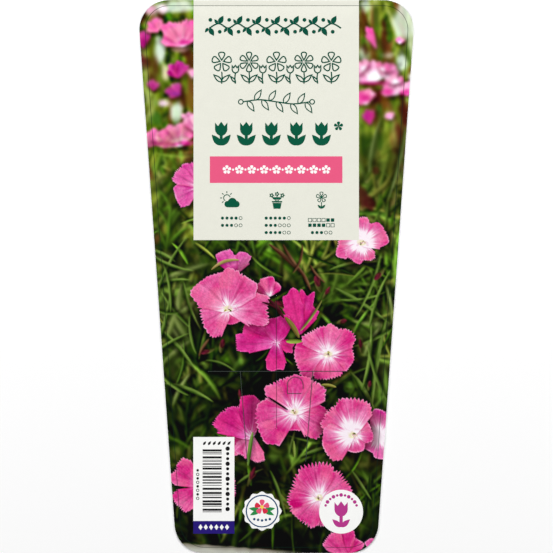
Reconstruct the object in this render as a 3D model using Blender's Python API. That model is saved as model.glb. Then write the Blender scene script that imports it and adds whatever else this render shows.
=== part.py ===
"""Printed pot label: one flat die-cut plastic sheet that tapers towards its foot.

Metres, +Z up. The label lies on its back with its printed face up. +Y runs to the wide head,
+X to the right of someone who reads it. The origin is under the middle, on the back face.
"""

import math

import bmesh
import bpy
from mathutils import Vector

# The sheet
SHEET_LENGTH = 0.2140
HEAD_WIDTH = 0.1078
FOOT_WIDTH = 0.0774
SHEET_THICKNESS = 0.0005
CORNER_RADIUS = 0.0115
CORNER_STEPS = 12

# Shallow scored lines in the printed face
SCORE_WIDTH = 0.00036
SCORE_DEPTH = 0.00014
BORDER_INSET = 0.0022
CREASE_TOP_Y = -0.0072
CREASE_FOOT_Y = -0.0586

# Slits cut right through for the clip tongue that goes behind a pot's wall
KERF = 0.0002
TONGUE_ROOM_Y = -0.0367
TONGUE_SLIT_LENGTH = 0.0530
TONGUE_HEAD_WIDTH = 0.0281
TONGUE_ROOT_WIDTH = 0.0226
TONGUE_LENGTH = 0.0350
LATCH_NICK_Y = -0.0399
LATCH_NICK_LENGTH = 0.0022

# Small arch-shaped tab inside the tongue, left uncut at one foot
TAB_LEFT_X = 0.0042
TAB_WIDTH = 0.0061
TAB_FOOT_Y = -0.0453
TAB_HEIGHT = 0.0064
TAB_BRIDGE = 0.0018
TAB_ARC_STEPS = 10

CUT_CLEARANCE = 0.0004


def side_x(y, inset):
    """Half width at height y, with the slanted side moved square to itself by inset."""
    slope = (HEAD_WIDTH - FOOT_WIDTH) / 2 / SHEET_LENGTH
    straight = (HEAD_WIDTH + FOOT_WIDTH) / 4 + slope * y
    return straight - inset * math.hypot(1.0, slope)


def rounded(corners, radius, steps):
    """Closed outline: each sharp corner is replaced by an arc that both its edges touch."""
    points = []
    for index, corner in enumerate(corners):
        before = (corners[index - 1] - corner).normalized()
        after = (corners[(index + 1) % len(corners)] - corner).normalized()
        half = before.angle(after) / 2
        centre = corner + (before + after).normalized() * (radius / math.sin(half))
        start = corner + before * (radius / math.tan(half)) - centre
        sweep = math.pi - 2 * half
        for step in range(steps + 1):
            turn = sweep * step / steps
            points.append(centre + Vector((start.x * math.cos(turn) - start.y * math.sin(turn),
                                           start.x * math.sin(turn) + start.y * math.cos(turn))))
    return points


def outline(inset):
    """Rounded trapezium, anticlockwise, at a constant distance inside the sheet's edge."""
    top = SHEET_LENGTH / 2 - inset
    corners = [Vector((-side_x(-top, inset), -top)), Vector((side_x(-top, inset), -top)),
               Vector((side_x(top, inset), top)), Vector((-side_x(top, inset), top))]
    return rounded(corners, CORNER_RADIUS - inset, CORNER_STEPS)


def ribbon(path, width):
    """Closed outline of a strip of the given width along an open path, with mitred turns."""
    left, right = [], []
    for index, point in enumerate(path):
        behind = path[max(index - 1, 0)]
        ahead = path[min(index + 1, len(path) - 1)]
        into = (point - behind) if index else (ahead - point)
        out = (ahead - point) if index < len(path) - 1 else into
        side_in = Vector((-into.y, into.x)).normalized()
        side_out = Vector((-out.y, out.x)).normalized()
        mitre = (side_in + side_out).normalized()
        reach = width / 2 / mitre.dot(side_in)
        left.append(point + mitre * reach)
        right.append(point - mitre * reach)
    return right + left[::-1]


def finish_mesh(name, bm):
    """Turns a closed bmesh into a named object whose faces point out."""
    bmesh.ops.recalc_face_normals(bm, faces=bm.faces)
    mesh = bpy.data.meshes.new(name)
    bm.to_mesh(mesh)
    bm.free()
    piece = bpy.data.objects.new(name, mesh)
    bpy.context.scene.collection.objects.link(piece)
    return piece


def prism(name, points, low, high):
    """Upright prism of a closed outline between two heights."""
    bm = bmesh.new()
    base = bm.faces.new([bm.verts.new((p.x, p.y, low)) for p in points])
    top = bmesh.ops.extrude_face_region(bm, geom=[base])
    risen = [item for item in top["geom"] if isinstance(item, bmesh.types.BMVert)]
    bmesh.ops.translate(bm, verts=risen, vec=(0, 0, high - low))
    return finish_mesh(name, bm)


def ring_groove_cutter(name, inset):
    """Closed ring of V section that scores a line all round, inset from the edge."""
    rise = CUT_CLEARANCE
    spread = SCORE_WIDTH / 2 * (SCORE_DEPTH + rise) / SCORE_DEPTH
    top = SHEET_THICKNESS + rise
    loops = [(inset - spread, top), (inset, SHEET_THICKNESS - SCORE_DEPTH), (inset + spread, top)]
    bm = bmesh.new()
    rings = [[bm.verts.new((p.x, p.y, z)) for p in outline(shift)] for shift, z in loops]
    count = len(rings[0])
    for first, second in zip(rings, rings[1:] + rings[:1]):
        for index in range(count):
            after = (index + 1) % count
            bm.faces.new((first[index], first[after], second[after], second[index]))
    return finish_mesh(name, bm)


def crease_cutter(name):
    """Bar of V section that scores the upright centre crease."""
    spread = SCORE_WIDTH / 2 * (SCORE_DEPTH + CUT_CLEARANCE) / SCORE_DEPTH
    top = SHEET_THICKNESS + CUT_CLEARANCE
    section = [(-spread, top), (0.0, SHEET_THICKNESS - SCORE_DEPTH), (spread, top)]
    bm = bmesh.new()
    end = bm.faces.new([bm.verts.new((x, CREASE_FOOT_Y, z)) for x, z in section])
    far = bmesh.ops.extrude_face_region(bm, geom=[end])
    moved = [item for item in far["geom"] if isinstance(item, bmesh.types.BMVert)]
    bmesh.ops.translate(bm, verts=moved, vec=(0, CREASE_TOP_Y - CREASE_FOOT_Y, 0))
    return finish_mesh(name, bm)


def tongue_paths():
    """Centre lines of the tongue's slits: one across, one down each side, one short nick."""
    across = TONGUE_SLIT_LENGTH / 2
    head = TONGUE_HEAD_WIDTH / 2
    root = TONGUE_ROOT_WIDTH / 2
    root_y = TONGUE_ROOM_Y - TONGUE_LENGTH
    nick_start = head - (head - root) * (TONGUE_ROOM_Y - LATCH_NICK_Y) / TONGUE_LENGTH
    return {
        "slit_across": [Vector((-across, TONGUE_ROOM_Y)), Vector((across, TONGUE_ROOM_Y))],
        "slit_left": [Vector((-head, TONGUE_ROOM_Y)), Vector((-root, root_y))],
        "slit_right": [Vector((head, TONGUE_ROOM_Y)), Vector((root, root_y))],
        "slit_nick": [Vector((nick_start, LATCH_NICK_Y)),
                      Vector((nick_start + LATCH_NICK_LENGTH, LATCH_NICK_Y))],
    }


def tab_path():
    """Centre line of the small tab's slit: along the foot, up one side and over the arch."""
    radius = TAB_WIDTH / 2
    middle = TAB_LEFT_X + radius
    spring_y = TAB_FOOT_Y + TAB_HEIGHT - radius
    path = [Vector((TAB_LEFT_X + TAB_WIDTH - TAB_BRIDGE / 2, TAB_FOOT_Y)),
            Vector((TAB_LEFT_X, TAB_FOOT_Y))]
    for step in range(TAB_ARC_STEPS + 1):
        turn = math.pi * (1 - step / TAB_ARC_STEPS)
        path.append(Vector((middle + radius * math.cos(turn), spring_y + radius * math.sin(turn))))
    path.append(Vector((TAB_LEFT_X + TAB_WIDTH, TAB_FOOT_Y + TAB_BRIDGE)))
    return path


def white_plastic():
    """Polypropylene label stock, white right through."""
    material = bpy.data.materials.new("white_polypropylene")
    material.use_nodes = True
    shader = material.node_tree.nodes["Principled BSDF"]
    shader.inputs["Base Color"].default_value = (0.86, 0.87, 0.86, 1)
    shader.inputs["Roughness"].default_value = 0.38
    shader.inputs["Metallic"].default_value = 0.0
    return material


def cut(sheet, cutter):
    """Takes a cutter out of the sheet. The cutter stays as a hidden guide."""
    cutter.hide_render = True
    cutter.display_type = "WIRE"
    cutter.parent = sheet
    modifier = sheet.modifiers.new(cutter.name, "BOOLEAN")
    modifier.operation = "DIFFERENCE"
    modifier.solver = "EXACT"
    modifier.object = cutter


def build():
    for old in list(bpy.data.objects):
        bpy.data.objects.remove(old)
    sheet = prism("label_sheet", outline(0.0), 0.0, SHEET_THICKNESS)
    sheet.data.materials.append(white_plastic())
    cut(sheet, ring_groove_cutter("border_score", BORDER_INSET))
    cut(sheet, crease_cutter("centre_crease"))
    paths = tongue_paths()
    paths["slit_tab"] = tab_path()
    for name, path in paths.items():
        cut(sheet, prism(name, ribbon(path, KERF), -CUT_CLEARANCE, SHEET_THICKNESS + CUT_CLEARANCE))


build()
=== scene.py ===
import math

import bpy
import numpy as np
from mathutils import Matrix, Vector, geometry


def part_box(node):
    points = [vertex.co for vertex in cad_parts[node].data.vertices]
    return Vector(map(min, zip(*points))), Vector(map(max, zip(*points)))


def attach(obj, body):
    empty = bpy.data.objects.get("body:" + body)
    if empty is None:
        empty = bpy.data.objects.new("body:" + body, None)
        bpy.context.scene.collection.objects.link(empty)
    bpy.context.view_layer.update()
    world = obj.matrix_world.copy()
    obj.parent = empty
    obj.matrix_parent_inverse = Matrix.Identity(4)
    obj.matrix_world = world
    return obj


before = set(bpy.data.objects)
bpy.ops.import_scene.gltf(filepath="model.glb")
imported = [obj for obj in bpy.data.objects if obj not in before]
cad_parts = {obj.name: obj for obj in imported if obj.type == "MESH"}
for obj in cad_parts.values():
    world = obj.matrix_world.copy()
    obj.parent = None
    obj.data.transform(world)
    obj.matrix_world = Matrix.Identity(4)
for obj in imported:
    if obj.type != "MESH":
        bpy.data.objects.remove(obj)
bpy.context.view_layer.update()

# Printed pot label, lying face up. Lengths below are millimetres on the sheet: x to the right,
# y up towards the wide head, from the middle of the sheet. Meshes are turned to metres.

MM = 0.001
SHEET_LOW, SHEET_HIGH = (np.array(corner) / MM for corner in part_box("label_sheet"))
SHEET_TOP = float(SHEET_HIGH[2])
SHEET_LENGTH = float(SHEET_HIGH[1] - SHEET_LOW[1])
HEAD_WIDTH = 107.8
FOOT_WIDTH = 77.4
CORNER_RADIUS = 11.5
CORNER_STEPS = 12

# Scored and cut lines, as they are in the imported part
SCORE_WIDTH = 0.36
BORDER_INSET = 2.2
CREASE = ((0.0, -58.6), (0.0, -7.2))
TONGUE_ROOM_Y = -36.7
TONGUE_SLIT_LENGTH = 53.0
TONGUE_HEAD_WIDTH = 28.1
TONGUE_ROOT_WIDTH = 22.6
TONGUE_LENGTH = 35.0
LATCH_NICK_Y = -39.9
LATCH_NICK_LENGTH = 2.2
TAB_LEFT_X = 4.2
TAB_WIDTH = 6.1
TAB_FOOT_Y = -45.3
TAB_HEIGHT = 6.4
TAB_BRIDGE = 1.8
TAB_ARC_STEPS = 10

# The same lines in the printed film: width of a slit, depth of a score, how far the dark of a slit reaches,
# and how strong the dark ink of each is. Round a slit that dark is a printed line and also painted shade of
# the slit.
FILM_KERF = 0.06
FILM_DIP = 0.04
SLIT_SHADE = 0.2
SLIT_LINE_AND_SHADE = 0.85
SCORE_INK = 0.95
SCORE_SPREAD = 1.7

# Thickness of the picture's ink, the rise from one shape of an ornament to the next, and the light
# that the varnish adds, which is taken off the inks
INK = 0.015
FILM_STEP = 0.0004
VARNISH_LIFT = 0.005

# Printed layout: left, foot, right and head of each block, and middle and radius of the rounds
PANEL = (-32.1, 14.1, 31.9, 107.4)
BAND = (-25.8, 36.2, 25.5, 46.5)
BAR_BLOCK = (-32.2, -94.6, -16.3, -62.1)
VIOLET_BLOCK = (-32.2, -99.5, -16.3, -94.6)
BADGE = (-5.6, -90.8, 7.6)
DISC = (25.0, -91.0, 8.5)

# Meshes of the printed face: distance between their points, rows of picture tiles below the panel,
# and how far past the sheet's edge they are laid out before they are trimmed to it
PICTURE_PITCH = 0.19
STRIP_PITCH = 0.27
PANEL_PITCH = 4.0
TILE_ROWS = 5
TRIM = 0.2

# The painted picture: distance between its grid points, half its width and height, random values
# along each side of the noise, and points along a thread
DOT = 0.12
PAPER_X = 54.6
PAPER_Y = 107.6
LATTICE = 128
THREAD_STEPS = 24

# Rows of the sheet's foot and head, and how far to either side loose leaves stand
FOOT_Y = -107
HEAD_Y = 107
GRASS_REACH = 54

# Heading of what points straight up the sheet
UP = math.pi / 2

# Camera, world and lamps, the lamps as name, x, y and z in metres, and watts
LENS = 150
SENSOR = 36
WORLD_STRENGTH = 0.15
LAMP_SIDE = 0.7
LAMPS = [("left", -0.8, 0.25, 0.8, 7.4), ("right", 0.8, 0.25, 0.8, 7.4), ("head", 0, 1.0, 0.8, 5.7),
         ("under_left", -0.8, 0, -0.8, 7.4), ("under_right", 0.8, 0, -0.8, 7.4)]

# Floor, in millimetres: half its side, how far the label laps over its window, and how far it
# lies below the label's back
FLOOR_REACH = 3000
FLOOR_LAP = 0.4
FLOOR_DROP = 0.02

# Ink colours
CREAM = "e6e6da"
DARK_GREEN = "0f4f3e"
LEAF_GREEN = "0e5740"
BAND_PINK = "e85c84"
VIOLET = "2b1f76"
MAGENTA = "b83c8c"
WHITE = "fbfbf9"
BLACK = "1d1c1e"
LINE_INK = "10251d"
SEAL_BLUE = "1b476f"
SEAL_GREEN = "2f8a4a"
SEAL_RED = "d8324a"
SEAL_PINK = "e8577c"
SEAL_YELLOW = "f6d35a"

# Colours of the sheet, the painted shade on the walls of its slits, and the floor
WORN_WHITE = "e7e8e7"
CLEAN_WHITE = "f1f1f0"
SLIT_WALL_SHADE = "1d1f21"
FLOOR_WHITE = "fdfdfd"


def tone(code):
    """sRGB colour of a hex code, as three parts from 0 to 1."""
    return np.array([int(code[i:i + 2], 16) for i in (0, 2, 4)], np.float32) / 255


def linear(colour):
    """sRGB to linear light: a straight slope near black, and a power of 2.4 above it."""
    colour = np.clip(colour, 0, 1)
    return np.where(colour <= 0.04045, colour / 12.92, ((colour + 0.055) / 1.055) ** 2.4)


def step(low, high, value):
    """Smooth rise from 0 at low to 1 at high: three t squared less two t cubed."""
    t = np.clip((value - low) / (high - low), 0, 1)
    return t * t * (3 - 2 * t)


def socket_colour(code):
    """A hex colour in linear light, as a shader's socket takes it."""
    return (*linear(tone(code)).tolist(), 1.0)


def toward(colour, goal, share):
    """Colours moved towards another one by a share from 0 to 1 at each point."""
    return colour + (goal - colour) * share[..., None]


# The picture, painted on a fine grid with brushes that follow formulas


class Paper:
    """The picture before it goes on the sheet: a fine grid of ink colours and its coordinates."""

    def __init__(self):
        self.xs = np.arange(-PAPER_X, PAPER_X, DOT, dtype=np.float32)
        self.ys = np.arange(-PAPER_Y, PAPER_Y, DOT, dtype=np.float32)
        self.ink = np.zeros((len(self.ys), len(self.xs), 3), np.float32)

    def window(self, x0, x1, y0, y1):
        """The part of the grid inside a box, with its coordinates. It is empty off the paper."""
        spans = []
        for low, high, reach, count in ((y0, y1, PAPER_Y, len(self.ys)), (x0, x1, PAPER_X, len(self.xs))):
            first = max(int((low + reach) / DOT), 0)
            spans.append(slice(first, max(first, min(int((high + reach) / DOT) + 2, count))))
        rows, columns = spans
        return (rows, columns), self.xs[None, columns], self.ys[rows, None]

    def lay(self, area, colour, cover):
        """Ink over what is there, by a cover from 0 to 1."""
        part = self.ink[area]
        part += (colour - part) * cover[..., None]

    def darken(self, area, tint, cover):
        """Multiplies what is there by a tint, by a cover from 0 to 1."""
        part = self.ink[area]
        part *= 1 - cover[..., None] * (1 - tint)

    def read(self, x, y):
        """Colour at any points, mixed from the four nearest grid points."""
        u = np.clip((x + PAPER_X) / DOT, 0, len(self.xs) - 1.001)
        v = np.clip((y + PAPER_Y) / DOT, 0, len(self.ys) - 1.001)
        i, j = u.astype(int), v.astype(int)
        fu, fv = (u - i)[:, None], (v - j)[:, None]
        low = self.ink[j, i] * (1 - fu) + self.ink[j, i + 1] * fu
        high = self.ink[j + 1, i] * (1 - fu) + self.ink[j + 1, i + 1] * fu
        return low * (1 - fv) + high * fv


# Random values that the noise passes through
TABLE = np.random.default_rng(5).random((LATTICE, LATTICE), dtype=np.float32)


def noise(x, y, seed=0):
    """Smooth noise from 0 to 1 between random values on a unit lattice."""
    x = np.asarray(x, np.float32) + seed * 17.31
    y = np.asarray(y, np.float32) + seed * 9.17
    x0, y0 = np.floor(x), np.floor(y)
    fx, fy = x - x0, y - y0
    fx, fy = fx * fx * (3 - 2 * fx), fy * fy * (3 - 2 * fy)
    i, j = x0.astype(np.int32) % LATTICE, y0.astype(np.int32) % LATTICE
    i1, j1 = (i + 1) % LATTICE, (j + 1) % LATTICE
    a = TABLE[j, i] * (1 - fx) + TABLE[j, i1] * fx
    b = TABLE[j1, i] * (1 - fx) + TABLE[j1, i1] * fx
    return a * (1 - fy) + b * fy


def cloud(x, y, size, seed=0, octaves=4):
    """Noise at several scales added up, each half as large and half as strong."""
    total, weight = 0, 0
    for k in range(octaves):
        total = total + noise(x / size * 2 ** k, y / size * 2 ** k, seed + k) / 2 ** k
        weight += 1 / 2 ** k
    return total / weight


def blur(array, sigma):
    """Three box means in each direction, which come close to a Gaussian."""
    width = max(1, int(round(sigma / DOT)))
    size = 2 * width + 1
    for _ in range(3):
        for axis in (0, 1):
            pad = [(0, 0)] * array.ndim
            pad[axis] = (width + 1, width)
            run = np.cumsum(np.pad(array, pad, mode="edge"), axis=axis, dtype=np.float64)
            first, last = [slice(None)] * array.ndim, [slice(None)] * array.ndim
            first[axis], last[axis] = slice(size, None), slice(0, -size)
            array = ((run[tuple(first)] - run[tuple(last)]) / size).astype(np.float32)
    return array


def crisp(paper, sigma, amount):
    """Raises contrast round details of a given size: adds back part of what a blur takes away."""
    paper.ink += amount * (paper.ink - blur(paper.ink, sigma))
    np.clip(paper.ink, 0, 1, out=paper.ink)


def blade(paper, x, y, heading, length, width, bend, low, high,
          soft=0.16, rib=0.2, shadow=0.0, taper=0.75):
    """One narrow leaf: a bent spindle, wide near its foot and pointed at its tip, lit from one
    side, with a paler midrib and its shadow on what lies under it. With u from 0 to 1 along the
    leaf, its middle line bows by four u times one minus u, and its half width is the square
    root of u times one minus u to the power of the taper."""
    margin = width + abs(bend) * length + 1.5
    cos, sin = math.cos(heading), math.sin(heading)
    ex, ey = x + cos * length, y + sin * length
    area, X, Y = paper.window(min(x, ex) - margin, max(x, ex) + margin,
                              min(y, ey) - margin, max(y, ey) + margin)
    dx, dy = X - x, Y - y
    u = (dx * cos + dy * sin) / length
    v = -dx * sin + dy * cos - bend * length * 4 * u * (1 - u)
    inner = np.clip(u, 0, 1)
    half = width / 2 * 1.75 * np.sqrt(inner) * (1 - inner) ** taper
    on = (u > 0) & (u < 1)
    if shadow:
        drop = np.clip((half - np.abs(v + 0.5 * width)) / (width * 0.9) + 0.5, 0, 1) * on
        paper.darken(area, 0.25, drop * shadow)
    cover = np.clip((half - np.abs(v)) / soft + 0.5, 0, 1) * on
    across = np.clip(v / (half + 1e-3), -1, 1)
    mix = 0.42 + 0.42 * across + 0.3 * (inner - 0.35)
    mix = mix + 0.35 * (noise(inner * length / 3, across, x + y) - 0.5)
    mix = mix + rib * (np.exp(-(across / 0.22) ** 2) - 0.3)
    paper.lay(area, toward(low, high, np.clip(mix, 0, 1.35)), cover)


def patch(paper, x, y, rx, ry, turn, colour, soft=0.6, strength=1.0, wave=0.25, shade=False):
    """Soft spot: an ellipse whose radius noise makes wavy. Its cover falls smoothly from 1 to 0
    across the edge, and it is laid as ink or, as a shade, multiplied."""
    reach = max(rx, ry) * (1 + wave) * (1 + soft)
    area, X, Y = paper.window(x - reach, x + reach, y - reach, y + reach)
    dx, dy = X - x, Y - y
    c, s = math.cos(turn), math.sin(turn)
    a, b = (dx * c + dy * s) / rx, (-dx * s + dy * c) / ry
    r = np.hypot(a, b) * (1 + wave * (noise(a * 1.7, b * 1.7, x) - 0.5) * 2)
    brush = paper.darken if shade else paper.lay
    brush(area, colour, step(1 + soft / 2, 1 - soft / 2, r) * strength)


def patches(paper, rows, colour, soft, strength=1.0, turn=0.0, shade=False):
    """Soft spots of one colour. A fifth value in a row is that spot's own strength."""
    for x, y, rx, ry, *own in rows:
        patch(paper, x, y, rx, ry, turn, colour, soft, strength * (own[0] if own else 1), shade=shade)


def set_leaves(paper, rows, low, high, soft, rib, shadow, taper=0.75, levels=None, rng=None):
    """Leaves or stalks, one for each row of a table. Where levels gives a least and a most, each
    has a light of its own between them."""
    for x, y, heading, length, width, bend in rows:
        level = rng.uniform(*levels) if levels else 1.0
        blade(paper, x, y, math.radians(heading), length, width, bend, tone(low), tone(high) * level,
              soft, rib, shadow, taper)


def smooth_path(points, count):
    """Points along a smooth curve through a few points: each stretch is the cubic whose slope at
    either end is half the way between the neighbours of that end."""
    points = np.asarray(points, float)
    t = np.linspace(0, len(points) - 1, count)
    k = np.minimum(t.astype(int), len(points) - 2)
    f = (t - k)[:, None]
    a, b, c, d = (points[np.clip(k + shift, 0, len(points) - 1)] for shift in (-1, 0, 1, 2))
    return 0.5 * (2 * b + (c - a) * f + (2 * a - 5 * b + 4 * c - d) * f ** 2
                  + (3 * b - a - 3 * c + d) * f ** 3)


def thread(paper, points, width, colour, strength=0.9):
    """Fine thread along a smooth curve through a few points, with a faint shadow."""
    curve = smooth_path(points, THREAD_STEPS)
    area, X, Y = paper.window(curve[:, 0].min() - 1, curve[:, 0].max() + 1,
                              curve[:, 1].min() - 1, curve[:, 1].max() + 1)
    X, Y = np.broadcast_arrays(X, Y)
    gap = gap_to(curve, X, Y)
    paper.darken(area, SHADE_PINK, np.clip((width * 1.3 - gap) / 0.3 + 0.3, 0, 1) * 0.3)
    paper.lay(area, colour, np.clip((width / 2 - gap) / 0.14 + 0.5, 0, 1) * strength)


def gap_to(path, x, y):
    """Distance of each point from the nearest stretch of a path."""
    nearest = np.full(x.shape, 1e9)
    for (ax, ay), (bx, by) in zip(path[:-1], path[1:]):
        length = max((bx - ax) ** 2 + (by - ay) ** 2, 1e-9)
        along = np.clip(((x - ax) * (bx - ax) + (y - ay) * (by - ay)) / length, 0, 1)
        nearest = np.minimum(nearest, np.hypot(x - ax - along * (bx - ax),
                                               y - ay - along * (by - ay)))
    return nearest


# Flowers

SHADE_PINK = np.array([0.78, 0.40, 0.60], np.float32)
SHADE_FLOWER = np.array([0.42, 0.22, 0.30], np.float32)

# How petals look: their colours, the depth of their toothed fringe as a share of their length, the
# teeth across it, how soft their edge is in mm, how strong their shadow is, how far one differs from
# the next, their velvet grain, and how wide they are at the foot
PINK = dict(light=tone("eb74aa"), deep=tone("ce2279"), warm=tone("ec6894"), rim=tone("f9c3da"),
            blush=tone("f3bddb"), white=tone("fbf4fa"), fringe=0.045, teeth=13, soft=0.2, shadow=0.5,
            vary=0.12, grain=0.10, root=0.10)
PALE = dict(PINK, light=tone("ec7cb2"), deep=tone("d2337e"), warm=tone("ec6f98"))
LILAC = dict(PINK, light=tone("ea78b6"), deep=tone("cc2f8e"), warm=tone("e86aa6"))
DEEP = dict(PINK, light=tone("e24a9e"), deep=tone("b80e6c"), warm=tone("e02f7e"), rim=tone("e87fb6"),
            blush=tone("e08cc4"), vary=0.2, root=0.28)
FAR = dict(PINK, light=tone("f48db9"), deep=tone("dd4f93"), warm=tone("f08aa8"), soft=0.4,
           fringe=0.11, teeth=7, vary=0.2, shadow=0.35, grain=0.0)
FAR_PALE = dict(FAR, light=tone("fbc3df"), deep=tone("ec7ab2"), warm=tone("f7b6c6"))
FAR_DEEP = dict(FAR, light=tone("d8549f"), deep=tone("a01a6c"), warm=tone("cf3f7c"))


def petal(paper, area, fx, fy, heading, size, half, eye, look, seed):
    """One petal as a wedge round the flower's middle. Radius and angle give its toothed and nearly
    straight end, its soft folds, its veins and the white glow with fine rays at its foot."""
    rng = np.random.default_rng(seed)
    r = np.hypot(fx, fy)
    phi = (np.arctan2(fy, fx) - heading + math.pi) % (2 * math.pi) - math.pi
    a = phi / half
    t = r / size
    zero = 0 * a
    # Its end: nearly straight, with corners, shallow lobes and teeth of uneven depth
    saw = a * look["teeth"] / 2 + 1.5 * noise(a * 1.7 + 7, zero, seed) + rng.uniform(0, 1)
    tooth = np.abs((saw % 1.0) - 0.5) * 2
    fine = np.abs((saw * 2.3 % 1.0) - 0.5) * 2
    depth = look["fringe"] * (0.2 + 1.5 * noise(np.floor(saw) * 1.7 + 0.3, zero + 0.4, seed + 3))
    depth = depth * (0.35 + 1.1 * step(0.3, 0.7, noise(a * 1.9 + 5, zero, seed + 31)))
    lobe = 0.16 * (noise(a * 1.6 + 3, zero, seed + 40) - 0.5)
    end = 0.93 / np.cos(np.clip(phi, -1, 1) * 0.6) - 0.26 * step(0.62, 1.12, np.abs(a))
    edge = size * (end + rng.uniform(-0.07, 0.07) * a + lobe - depth * tooth
                   - look["fringe"] * 0.25 * fine)
    bow = 1 + 0.10 * (noise(t * 2.2, zero, seed + 8) - 0.5)
    side = half * bow * (r + look["root"] * size * (1 - 0.6 * t)) - np.abs(phi) * r
    distance = np.minimum(edge - r, side)
    cast = np.roll(distance, (-int(0.25 / DOT), int(0.3 / DOT)), (0, 1))
    paper.darken(area, SHADE_PINK, np.clip(cast / 0.8 + 0.5, 0, 1) * look["shadow"])
    cover = np.clip(distance / look["soft"] + 0.5, 0, 1)
    # Its colour: folds, blotches and veins between the deep and the light pink
    tilt = rng.uniform(-1, 1)
    mix = 0.5 + 0.13 * np.tanh((a - 0.35 * tilt) * 3.5) * np.sign(tilt)
    mix = mix + 0.10 * np.cos(a * 4.1 + 3 * tilt)
    mix = mix + 0.85 * (noise(fx / 3.6, fy / 3.6, seed + 2) - 0.5)
    mix = mix + 0.30 * (noise(fx / 1.1, fy / 1.1, seed + 4) - 0.5)
    mix = mix + rng.uniform(-0.25, 0.3) * (t - 0.6) + rng.uniform(-look["vary"], look["vary"])
    vein = (noise(a * 12, t * 1.1, seed + 5) - 0.5) * 0.26
    vein = vein + (noise(a * 29, t * 2.0, seed + 6) - 0.5) * 0.24
    mix = mix + vein * (0.4 + t)
    colour = toward(look["deep"], look["light"], np.clip(mix, -0.25, 1.25))
    warm = step(0.45, 0.8, noise(fx / 4.5 + 3, fy / 4.5, seed + 14)) * 0.55
    colour = toward(colour, look["warm"], warm)
    fold = np.exp(-((phi - 0.2 * half * tilt) * r / 0.4) ** 2) * step(0.15, 0.35, t) * step(1, 0.6, t)
    colour = colour * (1 - 0.10 * fold[..., None])
    if look["grain"]:
        velvet = noise(fx / 0.3, fy / 0.3, seed + 16) + noise(fx / 0.55, fy / 0.55, seed + 17) - 1
        colour = colour * (1 + look["grain"] * velvet[..., None])
    rim = step(0.6, 0.05, distance) * step(0.5, 0.8, t) * (0.05 + 0.8 * noise(a * 4, zero, seed + 12))
    colour = toward(colour, look["rim"], rim)
    seam = step(0.6, 0.0, side) * step(0.12, 0.45, t) * step(1.05, 0.75, t) * 0.22
    colour = colour * (1 - seam[..., None] * np.array([0.35, 1.0, 0.7], np.float32))
    # Its foot: a blush and a white glow that break up into fine rays
    if eye > 0:
        near = t + 0.16 * (noise(a * 3.1 + 11, t * 0.7, seed + 21) - 0.5)
        near = near + 0.22 * (noise(a * 13, t * 1.2, seed + 22) - 0.5)
        blush = step(eye + 0.36, eye - 0.06, near) * 0.62
        colour = toward(colour, look["blush"], blush)
        white = step(eye + 0.10, eye - 0.12, near) * 0.93
        colour = toward(colour, look["white"], white)
    paper.lay(area, colour, cover)


def flower(paper, x, y, reach, petals, eye, look, seed, heart=True):
    """One flower: its shadow, then its petals from the lowest to the one on top, each with its own
    heading, size and half width in degrees, and the anthers and curled styles."""
    room = reach * 1.3
    area, X, Y = paper.window(x - room, x + room, y - room, y + room)
    for heading, size, half in petals:
        angle = math.radians(heading)
        far = reach * size
        patch(paper, x + math.cos(angle) * far * 0.6 + 0.7, y + math.sin(angle) * far * 0.6 - 1.1,
              far * 0.52, far * math.radians(half) * 0.8, angle, SHADE_FLOWER, soft=0.8,
              strength=look["shadow"] * 1.2, shade=True)
    for index, (heading, size, half) in enumerate(petals):
        petal(paper, area, X - x, Y - y, math.radians(heading), reach * size, math.radians(half), eye,
              look, seed * 10 + index)
    if heart:
        stamens(paper, x, y, np.random.default_rng(seed), reach)


def stamens(paper, x, y, rng, reach):
    """The flower's middle: a pale green throat, a few anthers and two curled white styles."""
    patch(paper, x, y, 1.5, 1.1, 0, tone("e3dba6"), soft=1.0, strength=0.75)
    for code in ("6d5f1d", "f6f1c8", "a3912f", "5b5a1b", "fffbe8"):
        dx, dy = rng.normal(0, 0.5, 2)
        patch(paper, x + dx, y + dy, 0.5, 0.28, rng.uniform(0, 3), tone(code), soft=0.6, strength=0.9)
    for _ in range(2):
        heading = rng.uniform(0, 2 * math.pi)
        size = rng.uniform(0.18, 0.34) * reach
        sense = rng.choice([-1, 1])
        points = [(x, y)]
        for far, turned in ((0.45, 0.0), (0.85, 0.25), (1.05, 0.75), (0.85, 1.2), (0.6, 1.05)):
            angle = heading + sense * turned
            points.append((x + math.cos(angle) * size * far, y + math.sin(angle) * size * far * 0.8))
        thread(paper, points[:rng.integers(3, 6)], 0.28, tone("fdeef6"), strength=0.6)


def bud(paper, x, y, heading, length, width):
    """A closed bud: a green stalk, a dark red calyx and its two pointed scales."""
    cos, sin = math.cos(heading), math.sin(heading)
    blade(paper, x - cos * length * 0.8, y - sin * length * 0.8, heading, length * 1.1, width * 0.9,
          0.02, tone("23280c"), tone("7f8040"), soft=0.25, rib=0.1, shadow=0.3, taper=0.4)
    foot_x, foot_y = x - cos * length * 0.3, y - sin * length * 0.3
    blade(paper, foot_x, foot_y, heading, length * 0.9, width, 0.0, tone("300a14"), tone("8a2a3f"),
          soft=0.25, taper=0.6)
    for turn in (-0.35, 0.3):
        blade(paper, foot_x, foot_y, heading + turn, length * 0.62, width * 0.32, turn * 0.2,
              tone("2a0f10"), tone("7c3a35"), soft=0.2, rib=0.0, taper=0.6)


# Leaves

SHADE_GROUND = np.array([0.24, 0.15, 0.16], np.float32)
GREENS = [(tone(low), tone(high)) for low, high in
          (("132304", "56821c"), ("1a2f08", "6c9a2a"), ("0b1903", "3c6010"),
           ("233a0a", "88ae40"), ("1a300a", "76a238"), ("282f0c", "8f9a40"))]
FAR_STEMS = [(tone(low), tone(high)) for low, high in
             (("5c6b12", "a6b442"), ("3e4a0c", "7e8e28"), ("5a3416", "966c34"),
              ("70802a", "c2cc78"), ("26300a", "5c6c18"))]


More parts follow.
